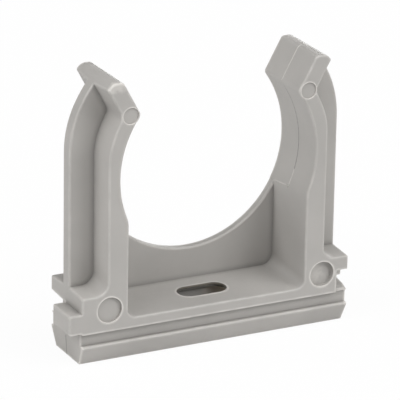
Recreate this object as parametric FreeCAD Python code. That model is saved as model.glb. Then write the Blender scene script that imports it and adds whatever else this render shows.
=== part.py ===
import FreeCAD, Part
import math
import os

# Open-top snap-in conduit clip, moulded in one piece.
# Millimetres. X runs along the base, the open front faces -Y and Z is up.
# The clip stands on its foot at Z = 0, and its depth is centred on Y = 0.

V = FreeCAD.Vector

# Bore that holds the conduit
bore_radius = 25.0
depth = 17.2

# Distance from the front face to the plane where the two halves of the form meet
front_half = 9.0

# Spring arms: their flat inner sides stand a little inside the bore
flat_inset = 2.15
flat_taper = 0.65
flat_blend_radius = 6.0
arm_foot_wall = 5.05
arm_crown_lead = 0.7
arm_blend_radius = 15.0
side_taper = 0.45

# Hooked noses: the tips close over the conduit, and the hooks run up and out from them
mouth_half_angle = 53.13
lead_angle = 61.3
hook_wall = 4.0
hook_length = 9.95
hook_root_radius = 2.0
nose_crest = 1.4
nose_outer_radius = 2.5
nose_inner_radius = 1.2
nose_tip_radius = 1.2

# Outer webs: they end level with the hooks
web_thickness = 3.4
web_crown_lead = 1.3
web_blend_radius = 25.0

# Back plate and floor
plate_thickness = 1.95
plate_rise = 8.6
plate_rim_clearance = 0.1
floor_height = 10.4
floor_rise = 0.9
pocket_corner_front = 2.0
pocket_corner_back = 2.8

# Base block
block_height = 16.75
block_root_radius = 3.0

# Rail foot and its grooves
foot_height = 4.85
groove_height = 3.05
groove_depth = 1.2
foot_slant = 2.3
foot_end_slant = 0.3

# Coupling lugs at the ends
lug_reach = 3.3
lug_bottom = 8.3
lug_height = 4.7

# Coupling sockets at the ends
socket_reach = 3.0
socket_roof = 12.95
socket_roof_rise = 0.5
socket_floor = 9.9
socket_lip_setback = 0.6
socket_lip_height = 0.2
socket_brow_setback = 2.4
socket_brow_height = 0.95

# Screw slot through the floor, over a hollow that opens at the underside
slot_length = 12.5
slot_width = 5.6
slot_from_front = 8.1
slot_lip = 0.35
slot_flare = 1.2
hollow_roof = 1.5
hollow_length = 26.0
hollow_width = 9.2

# Round pin marks on the front face, below the arms and at the tips of the noses
large_mark_diameter = 6.2
large_mark_inset = 0.4
large_mark_height = 13.1
large_mark_depth_left = 0.7
large_mark_depth_right = 1.2
small_mark_diameter = 3.9
small_mark_inset = 2.6
small_mark_rise = 0.1
small_mark_depth = 0.3

# Edge rounding
edge_radius = 0.4
lug_edge_radius = 0.5
foot_edge_radius = 0.5
rim_chamfer = 0.3

# Places that follow from the sizes above
front_y = -depth / 2
back_y = depth / 2
middle_y = front_y + front_half
web_front_y = middle_y - web_thickness / 2
web_back_y = middle_y + web_thickness / 2
plate_y = back_y - plate_thickness
slot_y = front_y + slot_from_front
bore_height = floor_height + plate_rise + bore_radius
flat_x = bore_radius - flat_inset
arm_x = flat_x + arm_foot_wall
arm_crown = arm_x + arm_crown_lead
groove_top = foot_height + groove_height
beyond = 5.0

# Lead-in face of the right nose: the tip, the run of the face and its normal into the nose
lead = math.radians(lead_angle)
half_mouth = math.radians(mouth_half_angle)
tip_x = bore_radius * math.sin(half_mouth)
tip_z = bore_height + bore_radius * math.cos(half_mouth)
run = (math.cos(lead), math.sin(lead))
inward = (math.sin(lead), -math.cos(lead))

# Outer end of the hook's underside, which sets the top of the noses and the ends of the webs
hook_end_x = tip_x + hook_wall * inward[0] + hook_length * run[0]
hook_end_z = tip_z + hook_wall * inward[1] + hook_length * run[1]
nose_top = hook_end_z + nose_crest
web_crown = math.hypot(hook_end_x, hook_end_z - bore_height)
end_x = web_crown - web_crown_lead


def on_ring(radius, angle):
    """A point of a ring about the bore axis."""
    return (radius * math.cos(angle), bore_height + radius * math.sin(angle))


def ring_angle(point):
    return math.atan2(point[1] - bore_height, point[0])


def ring_middle(a, b, radius):
    return on_ring(radius, (ring_angle(a) + ring_angle(b)) / 2)


def beside_lead(distance):
    """A point that lies the distance inside the lead-in face, level with the tip."""
    return (tip_x + distance * inward[0], tip_z + distance * inward[1])


def up_to_ring(point, radius):
    """Where a line along the lead-in run, through the point, meets a ring."""
    px = point[0]
    pz = point[1] - bore_height
    along = px * run[0] + pz * run[1]
    reach = math.sqrt(along ** 2 - px ** 2 - pz ** 2 + radius ** 2) - along
    return (point[0] + reach * run[0], point[1] + reach * run[1])


def shoulder(side_x, crown, blend):
    """A side runs straight up, bends and then follows a ring over the bore."""
    centre_x = side_x - blend
    rise = math.sqrt((crown - blend) ** 2 - centre_x ** 2)
    turn = math.atan2(rise, centre_x)
    start = (side_x, bore_height + rise)
    middle = (centre_x + blend * math.cos(turn / 2),
              bore_height + rise + blend * math.sin(turn / 2))
    return start, middle, on_ring(crown, turn)


def bend_middle(centre, radius, a, b):
    """The middle of a short bend from a to b about its centre."""
    mx = a[0] + b[0] - 2 * centre[0]
    mz = a[1] + b[1] - 2 * centre[1]
    size = math.hypot(mx, mz)
    return (centre[0] + radius * mx / size, centre[1] + radius * mz / size)


def edges_at(steps, y):
    """Edges through the listed points: two points make a line, three make an arc."""
    edges = []
    for step in steps:
        points = [V(p[0], y, p[1]) for p in step]
        if len(points) == 2:
            edges.append(Part.LineSegment(points[0], points[1]).toShape())
        else:
            edges.append(Part.Arc(points[0], points[1], points[2]).toShape())
    return edges


def mirrored_steps(steps):
    """The same steps on the other side of X = 0, in the opposite order."""
    return [[(-p[0], p[1]) for p in reversed(step)] for step in reversed(steps)]


def wire_at(steps, y):
    return Part.Wire(edges_at(steps, y))


def along_x(points, x_start, x_end):
    """A prism along X whose section is given by (Y, Z) points."""
    corners = [V(x_start, y, z) for y, z in points]
    section = Part.Face(Part.makePolygon(corners + corners[:1]))
    return section.extrude(V(x_end - x_start, 0, 0))


def clip_outline():
    """Outline of the whole clip seen from the front, with the pocket still filled."""
    bend_start, bend_mid, bend_end = shoulder(end_x, web_crown, web_blend_radius)

    outer_z = nose_top - nose_outer_radius
    outer_reach = web_crown - nose_outer_radius
    outer = (math.sqrt(outer_reach ** 2 - (outer_z - bore_height) ** 2), outer_z)
    crown_end = on_ring(web_crown, ring_angle(outer))
    top_start = (outer[0], nose_top)

    inner_z = nose_top - nose_inner_radius
    slip = (nose_inner_radius + (inner_z - tip_z) * run[0]) / run[1]
    inner = (tip_x + slip, inner_z)
    top_end = (inner[0], nose_top)
    lead_start = (inner[0] - nose_inner_radius * inward[0],
                  inner[1] - nose_inner_radius * inward[1])

    tip = up_to_ring(beside_lead(nose_tip_radius), bore_radius + nose_tip_radius)
    lead_end = (tip[0] - nose_tip_radius * inward[0], tip[1] - nose_tip_radius * inward[1])
    bore_start = on_ring(bore_radius, ring_angle(tip))

    right = [
        [(end_x, 0), bend_start],
        [bend_start, bend_mid, bend_end],
        [bend_end, ring_middle(bend_end, crown_end, web_crown), crown_end],
        [crown_end, bend_middle(outer, nose_outer_radius, crown_end, top_start), top_start],
        [top_start, top_end],
        [top_end, bend_middle(inner, nose_inner_radius, top_end, lead_start), lead_start],
        [lead_start, lead_end],
        [lead_end, bend_middle(tip, nose_tip_radius, lead_end, bore_start), bore_start],
    ]
    floor_to_right = [[(-end_x, 0), (end_x, 0)]]
    bore = [[bore_start, (0, bore_height - bore_radius), (-bore_start[0], bore_start[1])]]
    return floor_to_right + right + bore + mirrored_steps(right)


def channel_steps(taper):
    """Section of the channel between an arm and the outside, right-hand side."""
    side_x = arm_x + taper
    crown = arm_crown + taper
    top = block_height + taper
    root = block_root_radius
    far_x = end_x + beyond
    root_centre = (side_x + root, top + root)
    bend_start, bend_mid, bend_end = shoulder(side_x, crown, arm_blend_radius)

    hook = hook_root_radius
    hook_side = hook_wall + taper
    corner = up_to_ring(beside_lead(hook_side + hook), crown + hook)
    crown_end = on_ring(crown, ring_angle(corner))
    hook_start = (corner[0] - hook * inward[0], corner[1] - hook * inward[1])
    hook_end = up_to_ring(beside_lead(hook_side), web_crown + beyond)

    root_start = (root_centre[0], top)
    root_end = (side_x, root_centre[1])
    return [
        [(far_x, top), root_start],
        [root_start, bend_middle(root_centre, root, root_start, root_end), root_end],
        [root_end, bend_start],
        [bend_start, bend_mid, bend_end],
        [bend_end, ring_middle(bend_end, crown_end, crown), crown_end],
        [crown_end, bend_middle(corner, hook, crown_end, hook_start), hook_start],
        [hook_start, hook_end],
        [hook_end, (far_x, hook_end[1])],
        [(far_x, hook_end[1]), (far_x, top)],
    ]


def channel(web_y, face_y):
    """Tapered channel from a web out through a face, on both sides."""
    over = 1.0
    span = abs(face_y - web_y)
    out_y = face_y + math.copysign(over, face_y - web_y)
    inner = channel_steps(side_taper)
    outer = channel_steps(-side_taper * over / span)
    right = Part.makeLoft([wire_at(inner, web_y), wire_at(outer, out_y)], True, True)
    return [right, right.mirror(V(0, 0, 0), V(1, 0, 0))]


def pocket_steps(half_width, floor, corner):
    low_left = (-half_width + corner, floor + corner)
    low_right = (half_width - corner, floor + corner)
    left_end = (-half_width, low_left[1])
    left_start = (low_left[0], floor)
    right_start = (low_right[0], floor)
    right_end = (half_width, low_right[1])
    return [
        [(-half_width, bore_height), left_end],
        [left_end, bend_middle(low_left, corner, left_end, left_start), left_start],
        [left_start, right_start],
        [right_start, bend_middle(low_right, corner, right_start, right_end), right_end],
        [right_end, (half_width, bore_height)],
        [(half_width, bore_height), (-half_width, bore_height)],
    ]


def pocket():
    """Tapered pocket over the floor, open at the front."""
    over = 1.0
    grow = over / (plate_y - front_y)
    inner = pocket_steps(flat_x - flat_taper, floor_height + floor_rise, pocket_corner_back)
    outer = pocket_steps(flat_x + flat_taper * grow, floor_height - floor_rise * grow,
                         pocket_corner_front)
    return Part.makeLoft([wire_at(inner, plate_y), wire_at(outer, front_y - over)], True, True)


def ring_meets_flat(radius, side_x):
    """The lower of the two points where a ring about the bore meets a vertical side."""
    return (side_x, bore_height - math.sqrt(radius ** 2 - side_x ** 2))


def flat_blend_steps(side_x):
    """Section of the sliver between the right arm's inner corner and a smooth bend there."""
    blend = flat_blend_radius
    centre_x = side_x + blend
    drop = math.sqrt((bore_radius + blend) ** 2 - centre_x ** 2)
    centre = (centre_x, bore_height - drop)
    on_flat = (side_x, centre[1])
    share = bore_radius / (bore_radius + blend)
    on_bore = (centre[0] * share, bore_height - drop * share)
    in_bore = (side_x - blend / 3, ring_meets_flat(bore_radius, side_x)[1])
    return [
        [on_bore, in_bore],
        [in_bore, on_flat],
        [on_flat, bend_middle(centre, blend, on_flat, on_bore), on_bore],
    ]


def flat_blends():
    """Smooth bends from the bore into the flat sides, on the front half of the form only."""
    over = 1.0
    span = plate_y - front_y
    inner = flat_blend_steps(flat_x - flat_taper * front_half / span)
    outer = flat_blend_steps(flat_x + flat_taper * over / span)
    right = Part.makeLoft([wire_at(inner, middle_y), wire_at(outer, front_y - over)], True, True)
    return [right, right.mirror(V(0, 0, 0), V(1, 0, 0))]


def rim_clearance():
    """Thin sliver that sets the rim of the back plate back from the conduit."""
    half_width = flat_x - flat_taper
    ring = bore_radius + plate_rim_clearance
    low_right = ring_meets_flat(ring, half_width)
    low_left = (-half_width, low_right[1])
    steps = [
        [(-half_width, bore_height), low_left],
        [low_left, (0, bore_height - ring), low_right],
        [low_right, (half_width, bore_height)],
        [(half_width, bore_height), (-half_width, bore_height)],
    ]
    sliver = Part.Face(wire_at(steps, back_y + beyond))
    return sliver.extrude(V(0, -plate_thickness - 2 * beyond, 0))


def rail_cuts(face_y, outward):
    """Groove and slanted flank along one long side of the base."""
    far_y = face_y + outward * beyond
    groove_y = face_y - outward * groove_depth
    flank_y = face_y - outward * foot_slant
    groove = [(far_y, foot_height), (groove_y, foot_height),
              (groove_y, groove_top), (far_y, groove_top)]
    flank = [(far_y, foot_height), (face_y, foot_height), (flank_y, 0),
             (flank_y, -beyond), (far_y, -beyond)]
    reach = end_x + beyond
    return [along_x(groove, -reach, reach), along_x(flank, -reach, reach)]


def foot_end_cut(side):
    """Slight slant of the end of the foot."""
    points = [(end_x, foot_height), (end_x - foot_end_slant, 0),
              (end_x - foot_end_slant, -beyond), (end_x + beyond, -beyond),
              (end_x + beyond, foot_height)]
    corners = [V(side * x, back_y + beyond, z) for x, z in points]
    section = Part.Face(Part.makePolygon(corners + corners[:1]))
    return section.extrude(V(0, -depth - 2 * beyond, 0))


def lug(side, face_y):
    """Coupling lug that stands out of the lower half of one end."""
    root = 1.0
    low_y = min(face_y, middle_y)
    box = Part.makeBox(lug_reach + root, abs(face_y - middle_y), lug_height,
                       V(end_x - root, low_y, lug_bottom))
    if side < 0:
        box = box.mirror(V(0, 0, 0), V(1, 0, 0))
    return box


def socket(side, face_y, outward):
    """Coupling socket cut into one end, open at the end and at one face."""
    far_y = face_y + outward * beyond
    lip_y = face_y - outward * socket_lip_setback
    brow_y = face_y - outward * socket_brow_setback
    roof_out = socket_roof + socket_roof_rise
    points = [
        (middle_y, socket_roof),
        (middle_y, socket_floor),
        (brow_y, groove_top + socket_brow_height),
        (lip_y, groove_top + socket_lip_height),
        (lip_y, groove_top),
        (far_y, groove_top),
        (far_y, roof_out),
        (face_y, roof_out),
    ]
    inside = side * (end_x - socket_reach)
    outside = side * (end_x + beyond)
    return along_x(points, min(inside, outside), max(inside, outside))


def floor_at(y):
    """Height of the floor, which rises a little to the back."""
    return floor_height + floor_rise * (y - front_y) / (plate_y - front_y)


def slot_hollow():
    """Hollow in the base under the floor round the screw slot."""
    near_y = slot_y - hollow_width / 2
    far_y = slot_y + hollow_width / 2
    points = [(near_y, -beyond), (far_y, -beyond),
              (far_y, floor_at(far_y) - hollow_roof), (near_y, floor_at(near_y) - hollow_roof)]
    return along_x(points, -hollow_length / 2, hollow_length / 2)


def screw_slot():
    """Elongated hole for the fixing screw, which flares out under a thin lip."""
    half = (slot_length - slot_width) / 2
    radius = slot_width / 2
    lip_z = floor_at(slot_y) - slot_lip
    tall = slot_lip + floor_rise + beyond
    section = [(slot_y - radius, lip_z + tall), (slot_y - radius, lip_z),
               (slot_y - radius - slot_flare, lip_z - slot_flare),
               (slot_y + radius + slot_flare, lip_z - slot_flare),
               (slot_y + radius, lip_z), (slot_y + radius, lip_z + tall)]
    slot = along_x(section, -half, half)
    for x in (-half, half):
        place = V(x, slot_y, lip_z - slot_flare)
        slot = slot.fuse(Part.makeCone(radius + slot_flare, radius, slot_flare, place))
        slot = slot.fuse(Part.makeCylinder(radius, tall, V(x, slot_y, lip_z)))
    return slot


def mark(x, z, diameter, sink):
    """Round flat-bottomed pin mark sunk into the front face."""
    return Part.makeCylinder(diameter / 2, sink + 1.0, V(x, front_y - 1.0, z), V(0, 1, 0))


def points_of(edge):
    """Start, middle and end of an edge."""
    first, last = edge.FirstParameter, edge.LastParameter
    return [edge.valueAt(u) for u in (first, (first + last) / 2, last)]


def lies_at(points, y):
    return all(abs(p.y - y) < 0.001 for p in points)


def on_a_face(points):
    return lies_at(points, front_y) or lies_at(points, back_y)


def on_a_web(points):
    return lies_at(points, web_front_y) or lies_at(points, web_back_y)


def on_outline(p):
    """Whether a point is on the outer outline of the webs and noses."""
    if abs(p.x) > end_x - 0.01:
        return True
    return p.z > bore_height and math.hypot(p.x, p.z - bore_height) > end_x - 0.01


def at_mouth(p):
    """Whether a point is on the bore's side of the outer face of a hook's wall."""
    inside = (abs(p.x) - tip_x) * inward[0] + (p.z - tip_z) * inward[1]
    return inside < hook_wall - 0.05


def at_bore(p):
    """Whether a point is on the bore, or just outside it on the rim of the back plate."""
    return math.hypot(p.x, p.z - bore_height) < bore_radius + plate_rim_clearance + 0.01


def face_edge(points):
    """Edges on the front face above the sockets, and those of the channels on the back face."""
    if not on_a_face(points):
        return False
    middle = points[1]
    if lies_at(points, back_y) and (at_mouth(middle) or at_bore(middle)):
        return False
    above_sockets = middle.z > socket_roof + socket_roof_rise
    round_pocket = abs(middle.x) < flat_x + 0.01 and middle.z > floor_height - 0.01
    return above_sockets or round_pocket


def web_edge(points):
    """Edges of the webs along their outer outline."""
    return on_a_web(points) and all(on_outline(p) for p in points)


def rim_edge(points):
    """Front edge of the back plate's rim."""
    middle = points[1]
    return lies_at(points, plate_y) and at_bore(middle) and abs(middle.x) < 0.01


def end_edge(points):
    """Edges that run from a web to a face along the ends of the blocks and noses."""
    first, last = points[0], points[2]
    from_web = any(on_a_web([p]) for p in (first, last))
    to_face = any(on_a_face([p]) for p in (first, last))
    outside = any(on_outline(p) for p in (first, last))
    return from_web and to_face and outside and points[1].z > block_height


def lug_edge(points):
    """Edges round the outer end of a lug."""
    return all(abs(p.x) > end_x + lug_reach - 0.001 for p in points)


def foot_edge(points):
    """Top edges of the foot along its two long sides."""
    return on_a_face(points) and all(abs(p.z - foot_height) < 0.001 for p in points)


def chosen_edges(body, wanted):
    return [e for e in body.Edges if not e.Degenerated and wanted(points_of(e))]


def soften(body, radius, wanted):
    """Round the edges whose points meet the wanted test."""
    return body.makeFillet(radius, chosen_edges(body, wanted)).Solids[0]


def build():
    body = Part.Face(wire_at(clip_outline(), back_y)).extrude(V(0, -depth, 0))
    cuts = channel(web_front_y, front_y) + channel(web_back_y, back_y)
    cuts += [pocket(), rim_clearance()] + flat_blends()
    cuts += rail_cuts(front_y, -1) + rail_cuts(back_y, 1)
    cuts += [foot_end_cut(1), foot_end_cut(-1)]
    cuts += [socket(1, front_y, -1), socket(-1, back_y, 1)]
    cuts += [screw_slot(), slot_hollow()]
    body = body.cut(cuts)
    body = body.fuse([lug(-1, front_y), lug(1, back_y)]).removeSplitter().Solids[0]

    body = soften(body, edge_radius,
                  lambda points: face_edge(points) or web_edge(points) or end_edge(points))
    body = soften(body, lug_edge_radius, lug_edge)
    body = soften(body, foot_edge_radius, foot_edge)
    rim = chosen_edges(body, rim_edge)
    body = body.makeChamfer(rim_chamfer, rim).Solids[0]

    marks = []
    for side, large_mark_depth in ((-1, large_mark_depth_left), (1, large_mark_depth_right)):
        marks.append(mark(side * (arm_x - large_mark_inset), large_mark_height,
                          large_mark_diameter, large_mark_depth))
        marks.append(mark(side * (tip_x + small_mark_inset), tip_z + small_mark_rise,
                          small_mark_diameter, small_mark_depth))
    return body.cut(marks).Solids[0]


if __name__ == "__main__":
    clip = build()
    print(clip.isValid(), len(clip.Faces), round(clip.Volume, 1))
    os.makedirs("parts", exist_ok=True)
    clip.exportStep("parts/clip_body.step")
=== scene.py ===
import math

import bmesh
import bpy
from mathutils import Matrix, Vector


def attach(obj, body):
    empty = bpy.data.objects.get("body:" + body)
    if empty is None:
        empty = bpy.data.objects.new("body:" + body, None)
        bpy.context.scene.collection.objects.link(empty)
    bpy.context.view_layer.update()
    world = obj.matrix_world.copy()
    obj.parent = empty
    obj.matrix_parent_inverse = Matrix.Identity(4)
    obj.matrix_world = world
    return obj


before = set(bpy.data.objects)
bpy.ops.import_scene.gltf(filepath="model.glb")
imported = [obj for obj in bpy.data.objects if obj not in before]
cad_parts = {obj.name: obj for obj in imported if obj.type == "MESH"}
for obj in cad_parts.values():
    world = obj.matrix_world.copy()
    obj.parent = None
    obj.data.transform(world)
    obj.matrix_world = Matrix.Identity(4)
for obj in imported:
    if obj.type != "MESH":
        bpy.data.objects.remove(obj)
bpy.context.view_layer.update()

MM = 0.001

# Camera, solved from the edges of the clip in the photo
CAMERA_TARGET = Vector((-0.890, -0.600, 33.203)) * MM
CAMERA_AZIMUTH = -27.018
CAMERA_ELEVATION = 20.088
CAMERA_ROLL = 1.008
CAMERA_DISTANCE = 796.13 * MM
CAMERA_LENS = 310.1
CAMERA_SENSOR = 36.0
CAMERA_CLIP = (0.05, 20.0)

# Moulded plastic: linear colour, reflection and the range of its roughness
PLASTIC = (0.428, 0.413, 0.393)
PLASTIC_IOR = 1.46
PLASTIC_SPECULAR = 0.45
PLASTIC_ROUGHNESS = (0.48, 0.6)

# Variation of its colour: scale of the noise, darkest and lightest share, and the levels of
# the noise that give them
CLOUDS = (70.0, 0.95, 1.045)
SPECKS = (450.0, 0.8, 1.2)
CLOUD_LEVELS = (0.32, 0.68)

# Skin: scales of the noise in the grain and in the slow waves under it, the levels of the
# grain that give the two ends of the roughness, and the relief of both
GRAIN_SCALE = 1600.0
GRAIN_LEVELS = (0.3, 0.7)
WAVE_SCALE = 260.0
WAVES_TO_GRAIN = 3.0
RELIEF_STRENGTH = 0.12
RELIEF_HEIGHT = 0.04 * MM

# Painted shade in the corners: how far a corner reaches, how open it still is where the
# painted shade is darkest, and the share of the colour that stays there. It lies behind the
# front face and in the rail grooves, within these ways from none to full.
PAINTED_SHADE_REACH = 1.5 * MM
PAINTED_SHADE_OPEN = 0.35
PAINTED_SHADE_KEPT = 0.62
PAINTED_SHADE_Y = (-7.3 * MM, -6.8 * MM)
PAINTED_SHADE_Z = (9.2 * MM, 8.2 * MM)

# Painted highlights along the edges: how far the highlight reaches, where it starts and is
# full, how much lighter it is, and the noise that makes it patchy, down to its least share
EDGE_HIGHLIGHT_REACH = 0.65 * MM
EDGE_HIGHLIGHT_RANGE = (0.97, 0.72)
EDGE_HIGHLIGHT_PALER = 0.4
EDGE_HIGHLIGHT_NOISE_SCALE = 330.0
EDGE_HIGHLIGHT_NOISE_LEVELS = (0.38, 0.6)
EDGE_HIGHLIGHT_LEAST = 0.55

OCCLUSION_SAMPLES = 12

# Sizes of the clip that the trim and the shaded places follow, in millimetres
FRONT_Y = -8.6
POCKET_DEPTH = 15.25
BORE_HEIGHT = 44.0
BORE_RADIUS = 25.0
TIP_X = 20.0
TIP_Z = 59.0
LEAD = math.radians(61.3)
NOSE_TOP = 67.207
NOSE_BEND = 1.2
FLAT_X = 22.466
FLAT_Y = 0.4
FLAT_TAPER = 0.65 / POCKET_DEPTH
FOOT_END_X = 34.417
FOOT_SLANT = 0.3
FOOT_TOP = 4.85
SLOT_Y = -0.5
POCKET_SLOPE = 0.9 / POCKET_DEPTH
POCKET_Z = 10.4 - POCKET_SLOPE * FRONT_Y

# Marks of the form's pins: across, height and radius
LARGE_MARK = (27.5, 13.1, 3.1)
SMALL_MARK = (22.6, 59.1, 1.95)

# Rim round a pin mark: gap to the mark, half its width, height over the face, how deep it is
# sunk, and the width and height of its shoulder as shares of its own
RIM_GAP = 0.08
RIM_HALF = 0.1
RIM_PROUD = 0.03
RIM_SUNK = 0.45
RIM_SHOULDER = (0.6, 0.8)
RIM_STEPS = 96

# Moulding seams: how deep they are sunk, their width at the face as a share of that below
# it, and where they run
SEAM_SUNK = 0.12
SEAM_NARROWING = 0.9
SEAM_Y = 0.3
LEAD_SEAM_GAP = 0.45
BORE_SEAM_Y = 0.0
BORE_SEAM_GAP = 0.045
BORE_SEAM_TURN = 37.0
BORE_SEAM_STEPS = (48, 12)
BEND_STEPS = 8
FLAT_SEAM_ENDS = (0.3, 6.4)
FLAT_SEAM_TILT = (0.975, 0.22)
FOOT_SEAM_Y = 0.42
FOOT_SEAM_START = 0.06

# Painted light patches: a painted highlight on the rounded top corner of the left nose and
# painted light in the shaded recess of the right large mark: centre and size in millimetres,
# and tint
PAINTED_LIGHT_PATCHES = [
    ((-26.3, -8.4, 66.5), (2.9, 1.3, 1.9), (1.34, 1.34, 1.33, 1)),
    ((26.0, -7.4, 13.2), (2.3, 0.45, 2.9), (1.2, 1.2, 1.19, 1)),
]
PATCH_NOISE_SCALE = 900.0
PATCH_UNEVEN = 1.3
PATCH_RANGE = (1.85, 1.0)

# Painted shade on the lip of the slot and painted light on the right end of the hollow under
# it: the middle and half size of a box along each axis in millimetres, and where in the box
# the colour starts and is full
SLOT_BOX = (("X", 0.0, 6.5), ("Y", SLOT_Y, 3.0))
SLOT_LIP_PAINTED_SHADE = (0.4, 0.38, 0.34, 1)
SLOT_DEPTH = (0.02, 0.1)
HOLLOW_BOX = (("X", 0.0, 13.05), ("Y", SLOT_Y, 4.65), ("Z", 4.6, 4.75))
HOLLOW_PAINTED_LIGHT = (0.86, 0.78, 0.68, 1)
HOLLOW_X = (2.0 * MM, 8.0 * MM)

# Floor under the clip, in metres. The camera sees nearly all of it as white.
FLOOR_HALF = 3.0
FLOOR_Z = -0.02 * MM
FLOOR_COLOUR = (0.8, 0.8, 0.8, 1)
FLOOR_GLOW = 0.09
FLOOR_WHITE_SHARE = 0.94

WHITE = (1, 1, 1, 1)
BLACK = (0, 0, 0, 1)

# Studio light: azimuth and elevation that each lamp stands at, seen from the clip, and its
# irradiance. Azimuth 0 is straight in front, and 90 is on the right.
LAMPS = [
    ("back_right_low", 135.0, 5.0, 1.1),
    ("left_rear", -108.0, 30.0, 0.935),
    ("left_front", -72.0, 30.0, 0.525),
    ("right_front", 36.0, 30.0, 1.12),
    ("high_left", -60.0, 58.0, 0.724),
    ("high_front", 0.0, 58.0, 0.65),
    ("high_right", 60.0, 58.0, 0.73),
    ("behind", 180.0, 8.0, 0.25),
]
LAMP_SPREAD = math.radians(35.0)
LAMP_DISTANCE = 0.5


def add_to_scene(name, data):
    made = bpy.data.objects.new(name, data)
    bpy.context.scene.collection.objects.link(made)
    return made


def camera_axes(azimuth, elevation, roll):
    """Right, up and forward directions of a camera turned by these angles."""
    az = math.radians(azimuth)
    el = math.radians(elevation)
    turn = math.radians(roll)
    forward = Vector((-math.sin(az) * math.cos(el), math.cos(az) * math.cos(el),
                      -math.sin(el)))
    right = Vector((math.cos(az), math.sin(az), 0))
    up = right.cross(forward)
    rolled_right = math.cos(turn) * right + math.sin(turn) * up
    rolled_up = -math.sin(turn) * right + math.cos(turn) * up
    return rolled_right, rolled_up, forward


def make_camera():
    right, up, forward = camera_axes(CAMERA_AZIMUTH, CAMERA_ELEVATION, CAMERA_ROLL)
    data = bpy.data.cameras.new("camera")
    data.lens = CAMERA_LENS
    data.sensor_width = CAMERA_SENSOR
    data.clip_start, data.clip_end = CAMERA_CLIP
    camera = add_to_scene("camera", data)
    place = CAMERA_TARGET - forward * CAMERA_DISTANCE
    turn = Matrix((right, up, -forward)).transposed()
    camera.matrix_world = Matrix.Translation(place) @ turn.to_4x4()
    bpy.context.scene.camera = camera


def empty_tree(owner):
    owner.use_nodes = True
    owner.node_tree.nodes.clear()
    return owner.node_tree


def node(tree, kind, **values):
    made = tree.nodes.new(kind)
    for name, value in values.items():
        setattr(made, name, value)
    return made


def feed(tree, made, *values):
    """Fill a node's inputs in their order, each from a socket or with a fixed value."""
    for entry, value in zip(made.inputs, values):
        if isinstance(value, bpy.types.NodeSocket):
            tree.links.new(value, entry)
        else:
            entry.default_value = value


def maths(tree, operation, *values):
    made = node(tree, "ShaderNodeMath", operation=operation)
    feed(tree, made, *values)
    return made.outputs["Value"]


def vector_maths(tree, operation, *values):
    """Result of a vector operation: a number for a length or a dot product."""
    made = node(tree, "ShaderNodeVectorMath", operation=operation)
    feed(tree, made, *values)
    return made.outputs["Value" if operation in ("LENGTH", "DOT_PRODUCT") else "Vector"]


def mixed(tree, blend, share, colour, other):
    made = node(tree, "ShaderNodeMixRGB", blend_type=blend)
    feed(tree, made, share, colour, other)
    return made.outputs["Color"]


def remap(tree, value, start, end, low=0.0, high=1.0, steps="LINEAR"):
    """Value moved from the range start..end to low..high, and held there outside it."""
    made = node(tree, "ShaderNodeMapRange", interpolation_type=steps)
    made.inputs["From Min"].default_value = start
    made.inputs["From Max"].default_value = end
    made.inputs["To Min"].default_value = low
    made.inputs["To Max"].default_value = high
    tree.links.new(value, made.inputs["Value"])
    return made.outputs["Result"]


def noise(tree, place, scale, detail=2.0):
    made = node(tree, "ShaderNodeTexNoise")
    made.inputs["Scale"].default_value = scale
    made.inputs["Detail"].default_value = detail
    tree.links.new(place, made.inputs["Vector"])
    return made.outputs["Fac"]


def occlusion(tree, reach, inside):
    """How open the surface is within reach, or from inside how flat."""
    made = node(tree, "ShaderNodeAmbientOcclusion", samples=OCCLUSION_SAMPLES,
                inside=inside, only_local=True)
    made.inputs["Distance"].default_value = reach
    return made.outputs["AO"]


def within(tree, parts, box, mask):
    """The mask, kept only inside a box."""
    for axis, middle, half in box:
        inside = maths(tree, "COMPARE", parts.outputs[axis], middle * MM, half * MM)
        mask = maths(tree, "MULTIPLY", inside, mask)
    return mask


def separated(tree, place):
    parts = node(tree, "ShaderNodeSeparateXYZ")
    tree.links.new(place, parts.inputs["Vector"])
    return parts


def clouded(tree, place, colour, mottle):
    """The colour, darker and lighter in soft clouds."""
    scale, dark, light = mottle
    tone = node(tree, "ShaderNodeValToRGB")
    low, high = tone.color_ramp.elements
    low.position, high.position = CLOUD_LEVELS
    low.color = tuple(c * dark for c in colour) + (1,)
    high.color = tuple(c * light for c in colour) + (1,)
    tree.links.new(noise(tree, place, scale, 3.0), tone.inputs["Fac"])
    return tone.outputs["Color"]


def corner_shaded(tree, place, colour):
    """The colour, darker in the corners behind the front face and in the grooves: painted
    shade.
    """
    # Painted shade: the colour is darkened where nearby surfaces close over a corner
    painted_shade = remap(tree, occlusion(tree, PAINTED_SHADE_REACH, False), PAINTED_SHADE_OPEN, 1.0, PAINTED_SHADE_KEPT)
    parts = separated(tree, place)
    behind_face = remap(tree, parts.outputs["Y"], *PAINTED_SHADE_Y)
    in_grooves = remap(tree, parts.outputs["Z"], *PAINTED_SHADE_Z)
    sheltered = maths(tree, "MAXIMUM", behind_face, in_grooves)
    return mixed(tree, "MULTIPLY", sheltered, colour, painted_shade)


def edge_highlighted(tree, place, colour, paler):
    """The colour, paler and patchy along the edges: a painted highlight."""
    # Painted highlight: lighter colour along convex edges, made patchy by noise
    edges = remap(tree, occlusion(tree, EDGE_HIGHLIGHT_REACH, True), *EDGE_HIGHLIGHT_RANGE, steps="SMOOTHSTEP")
    patches = remap(tree, noise(tree, place, EDGE_HIGHLIGHT_NOISE_SCALE), *EDGE_HIGHLIGHT_NOISE_LEVELS, EDGE_HIGHLIGHT_LEAST)
    return mixed(tree, "MIX", maths(tree, "MULTIPLY", edges, patches), colour, paler)


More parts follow.
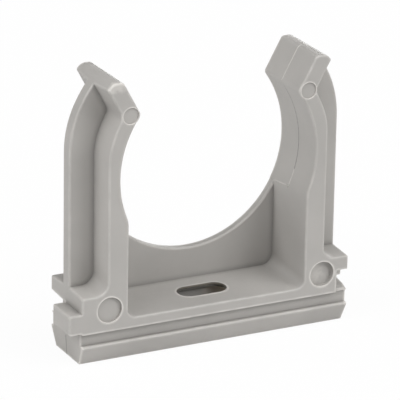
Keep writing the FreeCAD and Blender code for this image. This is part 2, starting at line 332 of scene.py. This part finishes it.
def painted_light_and_shade(tree, place, colour):
    """Painted highlight on the left nose and painted light in the right large mark, painted
    shade on the lip of the screw slot and painted light on the hollow's right end.
    """
    patch_noise = noise(tree, place, PATCH_NOISE_SCALE)
    # Painted highlight on the left nose's corner and painted light in the right large mark
    for centre, size, tint in PAINTED_LIGHT_PATCHES:
        away = vector_maths(tree, "SUBTRACT", place, Vector(centre) * MM)
        length = vector_maths(tree, "LENGTH",
                              vector_maths(tree, "DIVIDE", away, Vector(size) * MM))
        uneven = maths(tree, "MULTIPLY_ADD", patch_noise, PATCH_UNEVEN, length)
        patch_light = remap(tree, uneven, *PATCH_RANGE, steps="SMOOTHSTEP")
        colour = mixed(tree, "MULTIPLY", patch_light, colour, tint)

    parts = separated(tree, place)
    # Painted shade on the lip of the slot, just below the pocket floor
    level = vector_maths(tree, "DOT_PRODUCT", place, (0, -POCKET_SLOPE, 1))
    below = remap(tree, level, *((POCKET_Z - depth) * MM for depth in SLOT_DEPTH))
    colour = mixed(tree, "MULTIPLY", within(tree, parts, SLOT_BOX, below), colour, SLOT_LIP_PAINTED_SHADE)
    # Painted light on the right end of the hollow under the slot
    right_end = remap(tree, parts.outputs["X"], *HOLLOW_X)
    return mixed(tree, "MIX", within(tree, parts, HOLLOW_BOX, right_end), colour,
                 HOLLOW_PAINTED_LIGHT)


def add_skin(tree, place, shader):
    """Fine grain with slow waves under it, and a roughness that follows the grain."""
    grain = noise(tree, place, GRAIN_SCALE)
    tree.links.new(remap(tree, grain, *GRAIN_LEVELS, *PLASTIC_ROUGHNESS),
                   shader.inputs["Roughness"])
    relief = maths(tree, "MULTIPLY_ADD", noise(tree, place, WAVE_SCALE), WAVES_TO_GRAIN,
                   grain)
    bump = node(tree, "ShaderNodeBump")
    bump.inputs["Strength"].default_value = RELIEF_STRENGTH
    bump.inputs["Distance"].default_value = RELIEF_HEIGHT
    tree.links.new(relief, bump.inputs["Height"])
    tree.links.new(bump.outputs["Normal"], shader.inputs["Normal"])


def plastic_material(name, shade=1.0, highlight_share=1.0, mottle=CLOUDS, details=None):
    """Warm grey moulded plastic: faint flow clouds, a fine grained skin, painted highlights
    along the edges and painted shade in the corners."""
    base = [c * shade for c in PLASTIC]
    material = bpy.data.materials.new(name)
    tree = empty_tree(material)
    out = node(tree, "ShaderNodeOutputMaterial")
    shader = node(tree, "ShaderNodeBsdfPrincipled")
    tree.links.new(shader.outputs["BSDF"], out.inputs["Surface"])
    shader.inputs["IOR"].default_value = PLASTIC_IOR
    shader.inputs["Specular IOR Level"].default_value = PLASTIC_SPECULAR

    place = node(tree, "ShaderNodeTexCoord").outputs["Object"]
    # Painted shade in the corners and a painted highlight along the edges
    colour = corner_shaded(tree, place, clouded(tree, place, base, mottle))
    paler = tuple(c * (1 + EDGE_HIGHLIGHT_PALER * highlight_share) for c in base) + (1,)
    colour = edge_highlighted(tree, place, colour, paler)
    if details:
        colour = details(tree, place, colour)
    tree.links.new(colour, shader.inputs["Base Color"])
    add_skin(tree, place, shader)
    return material


def new_piece(name, points, faces, material):
    """A smooth-shaded mesh from points in millimetres; it rides with the clip."""
    mesh = bpy.data.meshes.new(name)
    mesh.from_pydata([Vector(p) * MM for p in points], [], faces)
    shell = bmesh.new()
    shell.from_mesh(mesh)
    bmesh.ops.recalc_face_normals(shell, faces=shell.faces)
    shell.to_mesh(mesh)
    shell.free()
    mesh.polygons.foreach_set("use_smooth", [True] * len(faces))
    mesh.update()
    mesh.materials.append(material)
    piece = add_to_scene(name, mesh)
    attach(piece, "root")


def swept(rings, closed):
    """Faces that join equal rings of points one after another, with caps where open."""
    size = len(rings[0])
    points = [p for ring in rings for p in ring]
    faces = []
    last = len(rings) if closed else len(rings) - 1
    for i in range(last):
        a = i * size
        b = (i + 1) % len(rings) * size
        for j in range(size):
            k = (j + 1) % size
            faces.append((a + j, a + k, b + k, b + j))
    if not closed:
        faces.append(tuple(range(size - 1, -1, -1)))
        faces.append(tuple(range((len(rings) - 1) * size, len(rings) * size)))
    return points, faces


def pin_rim(name, mark, side, material):
    """Thin raised rim round a pin mark, sunk into the front face all but a hair."""
    x, z, radius = mark
    centre_r = radius + RIM_GAP
    shoulder = RIM_HALF * RIM_SHOULDER[0]
    shoulder_y = -RIM_PROUD * RIM_SHOULDER[1]
    section = [(-RIM_HALF, RIM_SUNK), (-RIM_HALF, 0.0), (-shoulder, shoulder_y),
               (0.0, -RIM_PROUD), (shoulder, shoulder_y), (RIM_HALF, 0.0),
               (RIM_HALF, RIM_SUNK)]
    rings = []
    for i in range(RIM_STEPS):
        turn = 2 * math.pi * i / RIM_STEPS
        rings.append([(side * x + (centre_r + r) * math.cos(turn), FRONT_Y + y,
                       z + (centre_r + r) * math.sin(turn)) for r, y in section])
    new_piece(name, *swept(rings, True), material)


def seam(name, path, side, half, proud, material):
    """Moulding seam: a low ridge along a path of (point, outward way, way across)."""
    foot = half * SEAM_NARROWING
    section = [(-half, -SEAM_SUNK), (-foot, 0.0), (0.0, proud), (foot, 0.0),
               (half, -SEAM_SUNK)]
    rings = []
    for point, outward, across in path:
        ring = [point + across * w + outward * h for w, h in section]
        rings.append([(side * p.x, p.y, p.z) for p in ring])
    new_piece(name, *swept(rings, False), material)


def at_y(path, y):
    """Frames in the plane y for a path of (x, z, outward x, outward z)."""
    return [(Vector((x, y, z)), Vector((nx, 0, nz)), Vector((0, 1, 0)))
            for x, z, nx, nz in path]


def arc_path(cx, cz, radius, start, end, steps, into):
    """Points of an arc, with normals away from its centre (into 1) or towards it (-1)."""
    path = []
    for i in range(steps + 1):
        a = start + (end - start) * i / steps
        nx, nz = math.cos(a), math.sin(a)
        path.append((cx + radius * nx, cz + radius * nz, into * nx, into * nz))
    return path


def lead_path():
    """Over the bend at the top of the right nose and down its lead-in face."""
    run = (math.cos(LEAD), math.sin(LEAD))
    out = (-math.sin(LEAD), math.cos(LEAD))
    bend_z = NOSE_TOP - NOSE_BEND
    slip = (NOSE_BEND + (bend_z - TIP_Z) * run[0]) / run[1]
    facing = math.atan2(out[1], out[0])
    path = arc_path(TIP_X + slip, bend_z, NOSE_BEND, math.pi / 2, facing, BEND_STEPS, 1)
    end = (TIP_X + LEAD_SEAM_GAP * run[0], TIP_Z + LEAD_SEAM_GAP * run[1])
    return path + [(*end, *out)]


def bore_paths():
    """Down the right side of the bore: from below the tip, then on to the flat."""
    start = math.atan2(TIP_Z - BORE_HEIGHT, TIP_X) - BORE_SEAM_GAP
    middle = math.asin((BORE_SEAM_TURN - BORE_HEIGHT) / BORE_RADIUS)
    low = -math.sqrt(BORE_RADIUS ** 2 - FLAT_X ** 2)
    end = math.atan2(low, FLAT_X)
    upper, lower = BORE_SEAM_STEPS
    return (arc_path(0.0, BORE_HEIGHT, BORE_RADIUS, start, middle, upper, -1),
            arc_path(0.0, BORE_HEIGHT, BORE_RADIUS, middle, end, lower, -1))


def flat_path():
    """Along the edge where the back of the bore meets the flat under it."""
    long, short = FLAT_SEAM_TILT
    outward = Vector((-long, 0, short))
    across = Vector((short, 0, long))
    path = []
    for y in FLAT_SEAM_ENDS:
        x = FLAT_X - FLAT_TAPER * (y - FLAT_Y)
        z = BORE_HEIGHT - math.sqrt(BORE_RADIUS ** 2 - x ** 2)
        path.append((Vector((x, y, z)), outward, across))
    return path


def foot_path():
    """Up the slanted right end of the foot."""
    return [(FOOT_END_X - FOOT_SLANT, FOOT_SEAM_START, 1.0, 0.0),
            (FOOT_END_X, FOOT_TOP, 1.0, 0.0)]


def add_trim():
    """Rims of the pin marks and the seams where the halves of the form met, in lit and shaded
    copies of the plastic: painted highlights on the rims and the light and faint seams,
    painted shadow on the dark and foot seams.
    """
    # Lit and shaded copies of the plastic: painted highlight on the pin rims and on the light
    # and faint seams, painted shadow on the dark and foot seams
    pale = plastic_material("plastic_pin_rims_painted_highlight", 1.5, 0.0, SPECKS)
    light = plastic_material("plastic_seam_painted_highlight", 1.6, 0.0)
    faint = plastic_material("plastic_seam_faint_painted_highlight", 1.5, 0.0)
    dark = plastic_material("plastic_seam_painted_shadow", 0.46, 0.0)
    darker = plastic_material("plastic_foot_seam_painted_shadow", 0.36, 0.0)
    upper, lower = bore_paths()
    seams = [
        ("lead_in", at_y(lead_path(), SEAM_Y), 0.14, 0.02, light),
        ("bore_upper", at_y(upper, BORE_SEAM_Y), 0.16, 0.02, dark),
        ("bore_lower", at_y(lower, BORE_SEAM_Y), 0.11, 0.02, light),
        ("flat", flat_path(), 0.14, 0.03, faint),
        ("foot", at_y(foot_path(), FOOT_SEAM_Y), 0.14, 0.02, darker),
    ]
    for side, label in ((-1, "left"), (1, "right")):
        for height, mark in (("low", LARGE_MARK), ("top", SMALL_MARK)):
            pin_rim(f"pin_rim_{height}_{label}", mark, side, pale)
        for name, path, half, proud, material in seams:
            seam(f"seam_{name}_{label}", path, side, half, proud, material)


def emission(tree, strength):
    made = node(tree, "ShaderNodeEmission")
    feed(tree, made, WHITE, strength)
    return made.outputs["Emission"]


def floor_material():
    """White floor: it shows as white paper to the camera and keeps a faint shadow."""
    material = bpy.data.materials.new("white_floor")
    tree = empty_tree(material)
    out = node(tree, "ShaderNodeOutputMaterial")
    matte = node(tree, "ShaderNodeBsdfDiffuse")
    matte.inputs["Color"].default_value = FLOOR_COLOUR
    lit = node(tree, "ShaderNodeAddShader")
    feed(tree, lit, matte.outputs["BSDF"], emission(tree, FLOOR_GLOW))
    path = node(tree, "ShaderNodeLightPath")
    share = maths(tree, "MULTIPLY", path.outputs["Is Camera Ray"], FLOOR_WHITE_SHARE)
    mix = node(tree, "ShaderNodeMixShader")
    feed(tree, mix, share, lit.outputs["Shader"], emission(tree, 1.0))
    tree.links.new(mix.outputs["Shader"], out.inputs["Surface"])
    return material


def make_floor():
    half = FLOOR_HALF
    mesh = bpy.data.meshes.new("floor")
    mesh.from_pydata([(-half, -half, 0), (half, -half, 0), (half, half, 0), (-half, half, 0)],
                     [], [(0, 1, 2, 3)])
    mesh.materials.append(floor_material())
    floor = add_to_scene("floor", mesh)
    floor.location = (0, 0, FLOOR_Z)


def make_lamp(name, azimuth, elevation, strength):
    az = math.radians(azimuth)
    el = math.radians(elevation)
    way = Vector((math.sin(az) * math.cos(el), -math.cos(az) * math.cos(el), math.sin(el)))
    data = bpy.data.lights.new(name, "SUN")
    data.angle = LAMP_SPREAD
    data.energy = strength
    lamp = add_to_scene(name, data)
    lamp.location = way * LAMP_DISTANCE
    lamp.rotation_mode = "QUATERNION"
    lamp.rotation_quaternion = (-way).to_track_quat("-Z", "Y")


def background(tree, colour, strength):
    made = node(tree, "ShaderNodeBackground")
    feed(tree, made, colour, strength)
    return made.outputs["Background"]


def make_world():
    """White to the camera, and no light from it on the clip."""
    world = bpy.data.worlds.new("studio")
    bpy.context.scene.world = world
    tree = empty_tree(world)
    out = node(tree, "ShaderNodeOutputWorld")
    path = node(tree, "ShaderNodeLightPath")
    mix = node(tree, "ShaderNodeMixShader")
    feed(tree, mix, path.outputs["Is Camera Ray"], background(tree, BLACK, 0.0),
         background(tree, WHITE, 1.0))
    tree.links.new(mix.outputs["Shader"], out.inputs["Surface"])


plastic = plastic_material("moulded_plastic", details=painted_light_and_shade)
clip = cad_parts["clip_body"]
clip.data.materials.clear()
clip.data.materials.append(plastic)
add_trim()

make_floor()
for lamp in LAMPS:
    make_lamp(*lamp)
make_world()
make_camera()

bpy.context.scene.view_settings.view_transform = "Standard"
